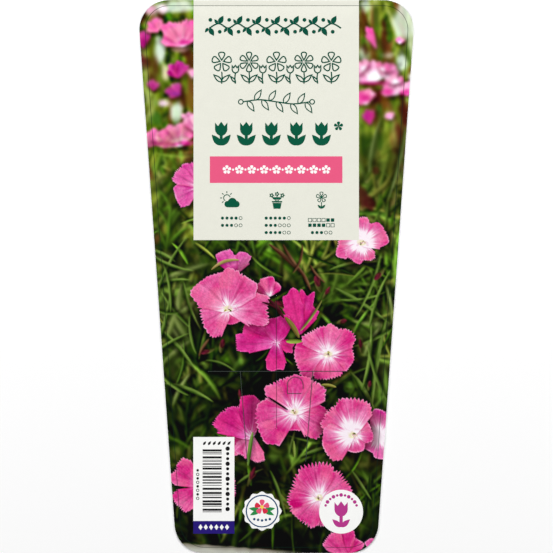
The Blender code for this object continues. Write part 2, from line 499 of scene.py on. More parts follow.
def sprig(paper, x, y, heading, length, rng, bright, soft):
    """A stem with pairs of narrow leaves that bend away from it."""
    low, high = (colour * bright for colour in GREENS[rng.integers(len(GREENS))])
    pairs = max(2, int(length / 7))
    for k in range(pairs):
        along = (k + 0.5) / (pairs + 0.1)
        leaf_x, leaf_y = x + math.cos(heading) * length * along, y + math.sin(heading) * length * along
        size = length * rng.uniform(0.34, 0.6) * (1.15 - 0.5 * along)
        for side in (-1, 1):
            blade(paper, leaf_x, leaf_y, heading + side * rng.uniform(0.25, 0.85), size,
                  rng.uniform(1.1, 2.1), -side * rng.uniform(0.02, 0.10), low,
                  high * rng.uniform(0.8, 1.25), soft, shadow=0.55)
    blade(paper, x, y, heading, length, 1.0, rng.normal(0, 0.03), low * 1.1, high, soft, rib=0.3,
          shadow=0.4, taper=0.3)


def shown(x, y):
    """False where the cream panel hides the picture, well inside its edge."""
    return abs(x) > PANEL[2] - 3 or y < PANEL[1] + 6


def scatter(paper, rng, count, lengths, widths, soft, bright, rows, lift=0.35, spread=0.9, shadow=0.0):
    """Loose leaves at random places and headings, lighter further up the picture."""
    for _ in range(count):
        x, y = rng.uniform(-GRASS_REACH, GRASS_REACH), rng.uniform(*rows)
        low, high = GREENS[rng.integers(len(GREENS))]
        heading = rng.normal(UP, spread)
        length, width = rng.uniform(*lengths), rng.uniform(*widths)
        level = bright * (0.75 + lift * (y - FOOT_Y) / (HEAD_Y - FOOT_Y)) * rng.uniform(0.42, 1.5)
        bend, edge = rng.normal(0, 0.07), soft * rng.uniform(0.7, 1.7)
        if shown(x, y):
            blade(paper, x - math.cos(heading) * length / 2, y - math.sin(heading) * length / 2,
                  heading, length, width, bend, low * level, np.minimum(high * level, 0.95), edge,
                  shadow=shadow)


# The picture's layout: what stands where

# The places were picked on the photo. A separate script turned most rows of SKY, FAR_BROWN, NEAR_BROWN and
# BUDS and 16 of LONG_LEAVES from pixels into millimetres, with those leaves' headings and lengths worked out
# from their end points. The other rows were given in millimetres.

# Pale sky between the far stems: x, y, half width, half height, strength
SKY = [(-45, 88, 2, 6, 1.0), (-38.5, 63.5, 2.5, 3.5, 0.95), (-38, 104.5, 6, 2.5, 0.95),
       (-45, 103, 2, 2.5, 0.8), (49, 99.5, 3.5, 7.5, 0.9), (48.5, 83, 2.5, 3.5, 0.9),
       (52, 91, 2.5, 6, 0.6), (-31, 78, 1.5, 2.5, 0.6), (34, 86, 2, 2.5, 0.7),
       (34.5, 104.5, 2, 2.5, 0.7), (43, 85.5, 2.5, 1, 0.6)]

# Brown seed heads and stalks, far and nearer: x, y, half width, half height
FAR_BROWN = [(-52.5, 99.5, 1.5, 2), (-50, 83, 1.5, 2.5), (-45, 101.5, 1.5, 2), (-35, 86.5, 2, 1.5),
             (-48, 74.5, 1.5, 3.5), (-36, 69, 1, 4), (40, 70, 1.5, 2.5), (48.5, 69.5, 1, 2.5),
             (44, 72, 1, 3), (49.5, 62.5, 2, 4.5), (34.5, 88, 1, 2.5), (47, 49, 1.5, 4),
             (52.5, 60.5, 1, 3.5), (37, 45, 1.5, 1.5), (42, 96, 1, 3)]
NEAR_BROWN = [(49.5, 49, 1, 3.5), (47, 43, 1, 2.5), (32.8, 45, 1, 2.5), (38.5, 41, 1.5, 1.5),
              (-49, 40.5, 1, 3), (-43, 49, 1, 1.5), (50.5, 39.5, 1, 3), (33, 31, 2, 4.5),
              (36, 28.5, 2, 3)]

# Other blurred spots: x, y, half width, half height, colour
FAR_SPOTS = [(-49.5, 103.5, 3, 2, "e9a9c8"), (-44, 103.5, 2, 2, "f3dfe2"), (-51.8, 101, 1.6, 1.8, "3a1c12"),
             (-46.5, 98.5, 2.5, 2, "ee86b4"), (-52.5, 84, 1.3, 3, "6b2b2e"), (-47, 81, 1.2, 4, "5a3a1a"),
             (-43, 78.5, 1.4, 3, "d8c9a2"), (-33, 84, 2, 3, "59300f"), (-33.5, 68, 1.5, 4, "7a5a1c"),
             (-43.5, 67, 2.2, 1.4, "e7cbd2"), (-37, 88, 3.5, 1.2, "e2b7a8"), (-46.5, 61, 2, 3, "3f6a1c"),
             (38.5, 100, 1.2, 5, "4d5a1a"), (34, 98, 1.6, 5, "5a2f12"), (43.5, 96, 1.2, 4, "3f5a12"),
             (41.5, 90, 1.4, 4, "4f2a10"), (39, 69.5, 2, 3, "5b1c14"), (41.5, 67.5, 1, 4, "6a3a14"),
             (49.3, 63, 1.4, 6, "4a1e12"), (45.5, 57, 0.9, 6, "9aa046"), (47.5, 55, 1.2, 4, "5d1f16"),
             (51.3, 45, 1.0, 5, "54160f"), (35, 50, 2.6, 5, "24400e"), (40, 52, 1.6, 4, "3a5a16"),
             (52.5, 76, 1.2, 2.5, "f6f1f2"), (50.5, 87, 1.2, 4, "4c6a20"), (53.2, 96, 1, 4, "dfe9d8")]

# Blurred far flowers, seen from the side: foot x, y, reach, petals as heading, size and half
# width in degrees, eye, look
FAR_FLOWERS = [
    (-51.6, 88.4, 7.8, [(95, 1.0, 20), (72, 0.9, 16), (118, 0.7, 20)], 0.0, FAR_DEEP),
    (-45.9, 94.6, 6.2, [(160, 0.8, 24), (120, 1.0, 30), (85, 0.95, 26)], 0.0, FAR),
    (-36.2, 89.2, 11.8, [(155, 0.85, 24), (120, 1.0, 28), (84, 1.0, 28), (50, 0.95, 24)], 0.1, FAR),
    (-38.1, 76.8, 7.2, [(138, 0.75, 26), (108, 1.0, 30), (68, 0.95, 28)], 0.0, FAR_DEEP),
    (-37.3, 70.2, 6.8, [(180, 0.7, 22), (150, 1.0, 26), (112, 0.85, 26)], 0.0,
     dict(FAR_DEEP, light=tone("c75ab4"), deep=tone("7d2a7c"))),
    (-47.5, 72.0, 4.6, [(110, 1.0, 30), (70, 0.9, 28)], 0.0, dict(FAR_DEEP, deep=tone("6a2440"))),
    (-32.5, 76.8, 4.2, [(100, 1.0, 30), (70, 0.9, 24)], 0.2, FAR_PALE),
    (-33.3, 59.5, 5.0, [(120, 1.0, 30), (80, 0.9, 30)], 0.3, FAR_PALE),
    (-47.5, 50.6, 7.2, [(170, 0.7, 24), (130, 0.9, 28), (85, 1.0, 28), (50, 0.9, 26)], 0.0, FAR),
    (-37.0, 50.5, 11.6, [(165, 0.95, 20), (138, 0.95, 24), (100, 0.85, 28), (64, 1.0, 26)], 0.15, FAR),
    (-30.5, 56.0, 8.0, [(130, 1.0, 26), (95, 1.0, 26)], 0.2, FAR_PALE),
    (38.6, 88.2, 10.0, [(110, 1.0, 13), (122, 0.8, 12)], 0.0, FAR),
    (33.4, 74.6, 9.8, [(120, 1.0, 24), (92, 1.0, 24), (62, 0.9, 24)], 0.25, FAR_PALE),
    (38.4, 75.6, 8.8, [(160, 0.8, 24), (125, 1.0, 26), (88, 1.0, 26), (50, 0.95, 26)], 0.5, FAR_PALE),
    (42.8, 76.0, 7.6, [(110, 0.9, 24), (75, 1.0, 26), (45, 0.8, 22)], 0.25, FAR_PALE),
    (46.6, 70.4, 8.2, [(165, 0.8, 22), (130, 1.0, 26), (92, 1.0, 28), (55, 0.8, 26)], 0.3, FAR_PALE),
    (51.0, 70.0, 6.4, [(130, 1.0, 26), (85, 1.0, 26)], 0.3, FAR_PALE),
    (34.8, 66.6, 7.2, [(160, 0.7, 24), (120, 1.0, 30), (72, 0.9, 30)], 0.1, FAR),
    (36.2, 58.8, 6.4, [(115, 0.9, 22), (88, 1.0, 26)], 0.0, FAR_DEEP),
    (44.5, 60.8, 3.6, [(140, 1.0, 30), (90, 0.9, 30)], 0.2, FAR_PALE),
    (47.7, 90.0, 3.0, [(110, 1.0, 34), (60, 0.9, 30)], 0.3, FAR_PALE),
    (34.0, 80.0, 4.5, [(200, 0.8, 24), (140, 1.0, 26), (80, 1.0, 26)], 0.35, FAR_PALE),
    (41.0, 79.5, 4.6, [(120, 1.0, 22), (60, 0.9, 22), (15, 0.8, 22)], 0.3, FAR),
    (46.0, 74.5, 4.2, [(150, 0.9, 24), (95, 1.0, 24), (40, 0.8, 24)], 0.45, FAR_PALE),
    (37.5, 71.0, 4.0, [(190, 0.9, 24), (240, 0.8, 22)], 0.2, FAR),
]

# Deep pink undersides of the far flowers: x, y, half width, half height
UNDERSIDES = [(-35.8, 90.6, 2.4, 1.0), (36.5, 74.8, 6.0, 0.6), (43.2, 71.4, 2.4, 1.3),
              (50.0, 71.2, 2.2, 1.2), (34.5, 69.0, 1.6, 1.2), (-43.5, 51.2, 5.0, 0.9),
              (-35.0, 51.6, 3.5, 0.9)]

# Long leaves in front: foot x, y, heading in degrees, length, width, bend
LONG_LEAVES = [(22.5, -4.5, -33, 25, 2.2, 0.03), (28.5, -37, -58, 18, 2.4, 0.05),
               (42.5, -16, -99, 35, 2.6, -0.03), (-45, -20.5, -49, 21, 2.0, 0.04),
               (-50.5, -32.5, 32, 20, 1.6, 0.05), (24.5, -9, 10, 18, 1.6, -0.08),
               (-49, 10.5, -26, 11, 2.0, 0.05), (-43, -41.5, -21, 20, 2.2, 0.06),
               (20.5, 2.5, 9, 20, 1.8, 0.06), (44.5, -20.5, -157, 18, 1.6, 0.04),
               (9, -70, 17, 16, 1.8, 0.05), (29, -75, -56, 14, 1.6, 0), (-15.5, -80.5, 30, 12, 1.6, 0.05),
               (-2.5, -75, -72, 20, 1.6, 0.03), (-27.5, -32.5, -22, 13, 1.2, 0.1),
               (-48, -4, 10, 15, 1.8, 0.08), (-33, -20, 128, 20, 1.6, 0.05), (-36, -2, -70, 20, 1.6, -0.05),
               (-47, -28, 75, 24, 1.8, -0.04), (-31, -30, 100, 15, 1.5, 0.06), (-38, -14, 170, 10, 1.4, 0.1),
               (36, -20, 70, 24, 1.8, 0.05), (33, -44, 82, 26, 1.9, -0.05), (44, -50, 110, 26, 1.7, 0.05),
               (5, -69, 77, 10, 1.6, 0), (-46, -6, 62, 24, 1.6, 0.05), (-41, -14, 100, 22, 1.5, -0.06),
               (-48, 8, -20, 17, 1.7, -0.06), (40, 8, -112, 26, 1.6, 0.05), (-34, -46, 140, 18, 1.8, 0.06)]

# Deep shade between the leaves: x, y, half width, half height, strength
SHADES = [(-36, 9, 11, 5, 0.4), (-33.5, -52, 9, 8, 0.4), (-5.5, -78, 11, 7, 0.85), (1.5, -103, 15, 5, 0.9),
          (34, -75, 7, 7, 0.3), (-35, -99, 7, 5, 0.6), (-12, -46, 9, 9, 0.7), (2, -38, 8, 5, 0.7),
          (40, -92, 5, 9, 0.3), (43, 36, 12, 12, 0.4), (10, -2, 14, 6, 0.2)]

# Broad soft leaves behind the sharp ones: foot x, y, heading in degrees, length, width, bend
SOFT_LEAVES = [(-48, 7, 4, 9, 2.0, 0.03), (-46, -2.5, 20, 22, 2.6, 0.03), (-38, -16, 82, 14, 2.8, 0.05),
               (-39, -15, 36, 13, 2.6, -0.04), (-47, -14, -48, 14, 2.4, 0.05), (-42, -24, 70, 13, 2.6, 0.04),
               (-34, -24, 120, 12, 2.6, 0.05), (-44, -34, 40, 15, 2.4, 0.04), (24, 3, 15, 18, 2.4, -0.05),
               (45, -18, 176, 16, 2.4, 0.05), (42, -3, -80, 16, 2.0, 0.04), (34, -31, 60, 15, 2.4, 0.04),
               (36, 40, 78, 22, 2.2, 0.04), (50, 58, -104, 30, 2.0, 0.03), (-40, -50, 62, 14, 2.2, 0.05)]

# Soft light on the grass: x, y, half width, half height, strength
GLOWS = [(-39, -11, 8, 15, 0.3), (38, -28, 7, 18, 0.2), (-41, -36, 6, 8, 0.12)]

# Brown seed stalks: foot x, y, heading in degrees, length, width, bend
STALKS = [(-3, 12.6, -42, 17, 1.9, 0.03), (2.5, 12.6, -55, 13, 1.4, -0.05),
          (8.5, 3.5, -62, 10, 1.5, 0.04), (10, 12.6, -108, 12, 1.0, 0.1),
          (13, 4.5, -50, 9, 1.2, -0.06), (-30, -31, 60, 8, 1.4, 0.05)]

# Buds: x, y, heading in degrees, length, width
BUDS = [(16, -2.5, 110, 5, 2.8), (39.5, 0.5, 230, 4, 2.4), (-21, -26.5, 80, 4, 2.4),
        (-27, -29, 200, 4, 2.0), (45.5, -80.5, 100, 5, 2.2), (2, -11, 150, 5, 2.6),
        (19.5, -6, 60, 4, 1.4), (-14, -46, 100, 4, 1.4), (25.5, -17.5, 20, 3, 2.2),
        (32.5, -26.5, 95, 4, 1.4), (-9.5, -77, 70, 6, 1.8), (36, -42, 80, 3, 1.6)]

# Flowers in front, from back to front: x, y, reach, petals as above, eye, look, open middle
FLOWERS = [
    (-29.6, 34.6, 12.0, [(70, 0.9, 30), (205, 0.95, 32), (112, 1.0, 26), (150, 1.0, 22)], 0.15, LILAC, 0),
    (33.1, 13.0, 10.6, [(100, 1.0, 36), (180, 1.0, 40), (240, 0.8, 36), (288, 0.76, 32), (26, 1.0, 38)],
     0.5, dict(PALE, root=0.25), 1),
    (-16.2, 1.6, 10.8, [(90, 0.55, 40), (60, 0.92, 24), (119, 1.0, 27)], 0.0,
     dict(LILAC, fringe=0.03, root=0.3), 0),
    (9.1, -21.9, 17.8, [(58, 0.7, 14), (80, 0.96, 14), (104, 1.0, 17)], 0.0, dict(DEEP, fringe=0.025), 0),
    (0.2, -25.7, 17.8, [(138, 0.72, 24), (158, 0.9, 22), (180, 1.0, 17), (90, 0.64, 34), (345, 0.42, 26),
                        (266, 0.63, 25)], 0.05, dict(DEEP, fringe=0.03), 0),
    (-2.5, -7.5, 7.8, [(60, 0.8, 30), (142, 0.9, 34), (100, 1.0, 30)], 0.2, PINK, 0),
    (-18.6, -12.4, 16.0, [(285, 0.42, 52), (210, 0.78, 43), (-5, 1.05, 30), (130, 1.0, 41),
                          (66, 1.0, 38)], 0.19, dict(PALE, root=0.2), 1),
    (39.7, -61.7, 11.0, [(10, 0.7, 40), (120, 0.6, 40), (235, 0.7, 40), (75, 1.0, 36), (280, 0.9, 34)],
     0.4, dict(LILAC, root=0.3), 0),
    (19.9, -30.2, 13.0, [(190, 1.04, 42), (118, 0.93, 40), (-12, 0.8, 42), (272, 0.8, 44),
                         (58, 1.0, 40)], 0.3, PINK, 1),
    (-9.9, -61.7, 16.4, [(206, 0.66, 34), (240, 0.55, 30), (270, 0.64, 24), (287, 0.72, 18)], 0.12,
     dict(PALE, root=0.28), 0),
    (-9.9, -61.7, 16.4, [(120, 0.9, 20), (147, 1.03, 24), (90, 1.0, 21)], 0.08, DEEP, 0),
    (7.0, -52.4, 15.5, [(285, 0.55, 48), (-24, 0.9, 38), (197, 1.06, 43), (114, 0.98, 38),
                        (62, 1.0, 38)], 0.24, dict(PINK, root=0.2), 1),
    (29.6, -61.3, 14.8, [(15, 0.55, 48), (135, 1.0, 38), (86, 1.0, 38), (268, 0.48, 52),
                         (200, 0.88, 44)], 0.42, PALE, 1),
    (-28.1, -81.5, 14.7, [(75, 0.9, 36), (2, 0.92, 26), (285, 0.9, 36), (146, 1.02, 28),
                          (214, 1.0, 28)], 0.1, PINK, 0),
    (27.0, -108.0, 11.2, [(50, 0.8, 26), (95, 0.9, 30), (135, 1.0, 30)], 0.0, PINK, 0),
    (40.5, -107.0, 7.8, [(130, 1.0, 26), (95, 0.9, 24)], 0.0, LILAC, 0),
    (16.6, -85.7, 14.6, [(300, 0.8, 40), (228, 0.92, 40), (30, 1.0, 36), (160, 0.96, 40),
                         (96, 1.02, 39)], 0.25, dict(PINK, fringe=0.075), 1),
]

# Leaves, calyces and stalks over the flowers: x, y, heading in degrees, length, width, bend, colours
OVER = [
    (17.6, -9.1, -125, 14.7, 1.1, 0.03, "4a4a1c", "a9a95e"),
    (3.3, -15.7, -56, 9.8, 2.2, 0.05, "5a4a20", "a2924c"),
    (9.9, -25.0, 181, 6.2, 2.0, 0.0, "3f5210", "b4c860"),
    (-3.3, -8.7, -50, 9.7, 1.8, 0.04, "2a0a10", "5d2430"),
    (-5.6, -9.9, -27, 8.6, 1.0, 0.06, "2a0a10", "4a1a22"),
    (-25.2, 2.6, 19, 11.5, 1.4, 0.12, "7a6a35", "c4ae74"),
    (-11.0, -73.3, 82, 13.3, 1.8, 0.02, "3b5a1c", "93a85c"),
    (-3.3, -46.6, -33, 9.2, 0.9, 0.0, "100a08", "1c1410"),
    (17.2, -42.0, -8, 6.0, 1.4, 0.05, "4c4a14", "b8b060"),
    (6.6, -63.5, -88, 6.5, 1.4, 0.0, "34440e", "94a850"),
]


def lay_ground(paper, X, Y):
    """Dark soil and shade below, pale green light above, in soft clouds."""
    dark, middle, pale = tone("070b02"), tone("2f3f0f"), tone("8a9a45")
    colour = toward(dark, middle, step(0.35, 0.72, cloud(X, Y, 9, 3)))
    light = step(-10, 60, Y) * step(0.25, 0.65, cloud(X, Y, 20, 8, 3))
    paper.ink[:] = toward(colour, pale, light)


def paint_far(paper, X, Y):
    """The blurred distance: grass, upright stems, sky, seed heads and far flowers."""
    rng = np.random.default_rng(11)
    lay_ground(paper, X, Y)
    scatter(paper, rng, count=800, lengths=(14, 40), widths=(1.6, 4.5), soft=0.7, bright=0.9,
            rows=(FOOT_Y, HEAD_Y), lift=0.9)
    for _ in range(240):
        x, y = rng.choice([-1, 1]) * rng.uniform(30, GRASS_REACH), rng.uniform(15, HEAD_Y)
        heading, length = rng.normal(UP, 0.26), rng.uniform(14, 42)
        low, high = FAR_STEMS[rng.integers(len(FAR_STEMS))]
        blade(paper, x - math.cos(heading) * length / 2, y - math.sin(heading) * length / 2, heading,
              length, rng.uniform(1.2, 3.6), rng.normal(0, 0.05), low, high, soft=0.6, rib=0.1)
    patches(paper, SKY, tone("deecdc"), soft=0.7, strength=0.85)
    patches(paper, FAR_BROWN, tone("4a2410"), soft=0.7, strength=0.85, turn=0.2)
    for x, y, rx, ry, code in FAR_SPOTS:
        patch(paper, x, y, rx, ry, 0.1, tone(code), soft=0.8, strength=0.85)
    paper.ink = blur(paper.ink, sigma=0.36)
    for index, (x, y, reach, petals, eye, look) in enumerate(FAR_FLOWERS):
        flower(paper, x, y, reach, petals, eye, look, 200 + index, heart=False)
    patches(paper, UNDERSIDES, tone("cf2f83"), soft=1.0, strength=0.8)
    paper.ink = blur(paper.ink, sigma=0.24)
    crisp(paper, sigma=1.2, amount=0.3)


def paint_middle(paper, X, Y):
    """Grass in the middle distance, half blurred, that fades into the distance above."""
    rng = np.random.default_rng(12)
    far = paper.ink.copy()
    scatter(paper, rng, count=600, lengths=(9, 30), widths=(1.2, 3.6), soft=0.4, bright=0.95,
            rows=(FOOT_Y, 85), lift=0.7)
    patches(paper, NEAR_BROWN, tone("54201a"), soft=0.5, strength=0.85, turn=0.3)
    for _ in range(50):
        x, y = rng.uniform(-52, 52), rng.uniform(FOOT_Y, 60)
        bright = 1.3 if y > 10 else 1.0
        heading, length = rng.normal(UP, 0.5), rng.uniform(14, 32)
        if shown(x, y):
            sprig(paper, x, y, heading, length, rng, bright, soft=0.4)
    paper.ink = toward(far, blur(paper.ink, sigma=0.3), step(66, 24, Y))
    gaps = step(0.52, 0.30, cloud(X, Y, 8, 51, 3)) * step(30, -20, Y)
    paper.ink *= (1 - 0.8 * gaps)[..., None]


def paint_near(paper, X, Y):
    """Leaves and sprigs nearer by, sharp in some places and out of focus in others."""
    rng = np.random.default_rng(13)
    scatter(paper, rng, count=200, lengths=(9, 28), widths=(1.0, 2.8), soft=0.3, bright=1.25,
            rows=(FOOT_Y, 22), shadow=0.5)
    for _ in range(34):
        x, y = rng.uniform(-50, 50), rng.uniform(FOOT_Y, 12)
        sprig(paper, x, y, rng.normal(UP, 0.7), rng.uniform(14, 32), rng, rng.uniform(0.9, 1.35),
              soft=0.24)
    patches(paper, SHADES, SHADE_GROUND, soft=1.2, shade=True)
    set_leaves(paper, SOFT_LEAVES, "2c3f10", "a3b268", soft=0.5, rib=0.15, shadow=0.5,
               levels=(0.75, 1.05), rng=rng)
    patches(paper, GLOWS, tone("93a352"), soft=1.4)
    paper.ink = blur(paper.ink, sigma=0.24)
    hazy = step(0.42, 0.62, cloud(X, Y, 13, 61, 3))[..., None]
    paper.ink += (blur(paper.ink, sigma=0.6) - paper.ink) * hazy * 0.7
    crisp(paper, sigma=2.4, amount=0.2)


def paint_front(paper):
    """The leaves, seed stalks and buds that stand in front of the rest of the grass."""
    rng = np.random.default_rng(14)
    scatter(paper, rng, count=46, lengths=(10, 26), widths=(0.9, 2.0), soft=0.22, bright=1.3,
            rows=(-100, 25), spread=1.1, shadow=0.6)
    set_leaves(paper, STALKS, "33150f", "8c6a46", soft=0.35, rib=0.2, shadow=0.5, taper=0.5)
    set_leaves(paper, LONG_LEAVES, "243d0c", "98b654", soft=0.2, rib=0.25, shadow=0.7,
               levels=(0.8, 1.05), rng=rng)
    for x, y, heading, length, width in BUDS:
        bud(paper, x, y, math.radians(heading), length, width)
    paper.ink = blur(paper.ink, sigma=0.12)


def paint_flowers(paper):
    """The flowers in front, from back to front, and what lies over them."""
    for index, (x, y, reach, petals, eye, look, middle) in enumerate(FLOWERS):
        flower(paper, x, y, reach, petals, eye, look, 31 + index, heart=bool(middle))
    for *row, low, high in OVER:
        set_leaves(paper, [row], low, high, soft=0.2, rib=0.2, shadow=0.4, taper=0.5)


def paint_picture():
    """The whole flower picture, from the blurred distance to the sharp flowers in front, with a
    pale worn band where the picture ends at the foot."""
    paper = Paper()
    X, Y = np.broadcast_arrays(paper.xs[None, :], paper.ys[:, None])
    paint_far(paper, X, Y)
    paint_middle(paper, X, Y)
    paint_near(paper, X, Y)
    paint_front(paper)
    paint_flowers(paper)
    crisp(paper, sigma=0.5, amount=0.25)
    below = -103.4 - 0.075 * (X + 33) - Y + 0.5 * noise(X / 2.5, 0 * X, 3)
    worn = toward(tone("8d8577"), tone("d2d3c8"), step(0, 2.6, below))
    paper.ink += (worn - paper.ink) * (step(-0.2, 0.7, below) * step(14, -4, X) * 0.9)[..., None]
    return paper


# The sheet's own lines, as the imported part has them


def side_x(y, inset):
    """Half width at height y, with the slanted side moved square to itself by inset."""
    slope = (HEAD_WIDTH - FOOT_WIDTH) / 2 / SHEET_LENGTH
    return (HEAD_WIDTH + FOOT_WIDTH) / 4 + slope * y - inset * math.hypot(1.0, slope)


def outline(inset):
    """Rounded trapezium at a constant distance inside the sheet's edge: each corner becomes an arc
    that both its sides touch."""
    top = SHEET_LENGTH / 2 - inset
    corners = [Vector((-side_x(-top, inset), -top)), Vector((side_x(-top, inset), -top)),
               Vector((side_x(top, inset), top)), Vector((-side_x(top, inset), top))]
    radius = CORNER_RADIUS - inset
    points = []
    for index, corner in enumerate(corners):
        before = (corners[index - 1] - corner).normalized()
        after = (corners[(index + 1) % 4] - corner).normalized()
        half = before.angle(after) / 2
        centre = corner + (before + after).normalized() * (radius / math.sin(half))
        start = corner + before * (radius / math.tan(half)) - centre
        turns = np.linspace(0, math.pi - 2 * half, CORNER_STEPS + 1)
        points += [(centre.x + start.x * math.cos(t) - start.y * math.sin(t),
                    centre.y + start.x * math.sin(t) + start.y * math.cos(t)) for t in turns]
    return np.array(points)


def sides_of(runs):
    """Unit vectors square to each run, to its left."""
    return np.stack([-runs[:, 1], runs[:, 0]], 1) / np.linalg.norm(runs, axis=1)[:, None]


def mitres(before, after, width):
    """From a line's middle to its edge at each turn: along the mean of the sides before and after,
    and further the sharper the turn, up to a limit."""
    mean = before + after
    mean /= np.maximum(np.linalg.norm(mean, axis=1), 1e-6)[:, None]
    return mean * (width / 2 / np.maximum(np.sum(mean * before, axis=1), 0.45)[:, None])


def ribbon(path, width):
    """Closed outline of a strip along an open path, with mitred turns."""
    path = np.asarray(path, float)
    sides = sides_of(np.diff(path, axis=0))
    shift = mitres(np.vstack([sides[:1], sides]), np.vstack([sides, sides[-1:]]), width)
    return np.vstack([path - shift, (path + shift)[::-1]])


def slit_paths():
    """Centre lines of the slits: across, down the tongue's sides, the nick and the small tab."""
    across, head, root = TONGUE_SLIT_LENGTH / 2, TONGUE_HEAD_WIDTH / 2, TONGUE_ROOT_WIDTH / 2
    root_y = TONGUE_ROOM_Y - TONGUE_LENGTH
    nick = head - (head - root) * (TONGUE_ROOM_Y - LATCH_NICK_Y) / TONGUE_LENGTH
    radius = TAB_WIDTH / 2
    spring_y = TAB_FOOT_Y + TAB_HEIGHT - radius
    turns = math.pi * (1 - np.linspace(0, 1, TAB_ARC_STEPS + 1))
    arch = [(TAB_LEFT_X + radius + radius * math.cos(t), spring_y + radius * math.sin(t))
            for t in turns]
    tab = [(TAB_LEFT_X + TAB_WIDTH - TAB_BRIDGE / 2, TAB_FOOT_Y), (TAB_LEFT_X, TAB_FOOT_Y)]
    tab += arch + [(TAB_LEFT_X + TAB_WIDTH, TAB_FOOT_Y + TAB_BRIDGE)]
    return [[(-across, TONGUE_ROOM_Y), (across, TONGUE_ROOM_Y)],
            [(-head, TONGUE_ROOM_Y), (-root, root_y)],
            [(head, TONGUE_ROOM_Y), (root, root_y)],
            [(nick, LATCH_NICK_Y), (nick + LATCH_NICK_LENGTH, LATCH_NICK_Y)], tab]


# Meshes


def closed(points):
    """The points with the first one again at the end."""
    return np.vstack([points, points[:1]])


def within(loop, x, y):
    """True for points inside a closed outline, by counting the edges to their right."""
    inside = np.zeros(x.shape, bool)
    for (ax, ay), (bx, by) in zip(loop, np.roll(loop, -1, 0)):
        if ay != by:
            crosses = (ay > y) != (by > y)
            inside ^= crosses & (x < ax + (y - ay) * (bx - ax) / (by - ay))
    return inside


def dense(path, pitch):
    """The same path with each stretch cut evenly, into parts no longer than the pitch."""
    points = [path[:1]]
    for a, b in zip(path[:-1], path[1:]):
        count = max(1, int(math.ceil(np.linalg.norm(b - a) / pitch)))
        points.append(a + (b - a) * (np.arange(1, count + 1) / count)[:, None])
    return np.vstack(points)


def net(points, ties):
    """Flat points and faces of the Delaunay triangles through all points and along all ties."""
    spots = [Vector(p) for p in np.asarray(points).tolist()]
    verts, _, faces, _, _, _ = geometry.delaunay_2d_cdt(spots, ties, [], 0, 1e-5)
    return np.array([tuple(v) for v in verts]), np.array(faces)


def printed_piece(name, points, faces, colours, material):
    """A mesh of triangles that carries its ink as a colour on each point, added to the label."""
    mesh = bpy.data.meshes.new(name)
    mesh.vertices.add(len(points))
    mesh.vertices.foreach_set("co", (np.asarray(points) * MM).astype(np.float32).ravel())
    mesh.loops.add(faces.size)
    mesh.loops.foreach_set("vertex_index", faces.astype(np.int32).ravel())
    mesh.polygons.add(len(faces))
    mesh.polygons.foreach_set("loop_start", np.arange(len(faces), dtype=np.int32) * 3)
    mesh.update(calc_edges=True)
    ink = mesh.attributes.new("ink", "FLOAT_COLOR", "POINT")
    shades = np.hstack([np.maximum(linear(colours) - VARNISH_LIFT, 0), np.ones((len(points), 1))])
    ink.data.foreach_set("color", shades.astype(np.float32).ravel())
    mesh.materials.append(material)
    piece = bpy.data.objects.new(name, mesh)
    bpy.context.scene.collection.objects.link(piece)
    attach(piece, "root")
    return mesh


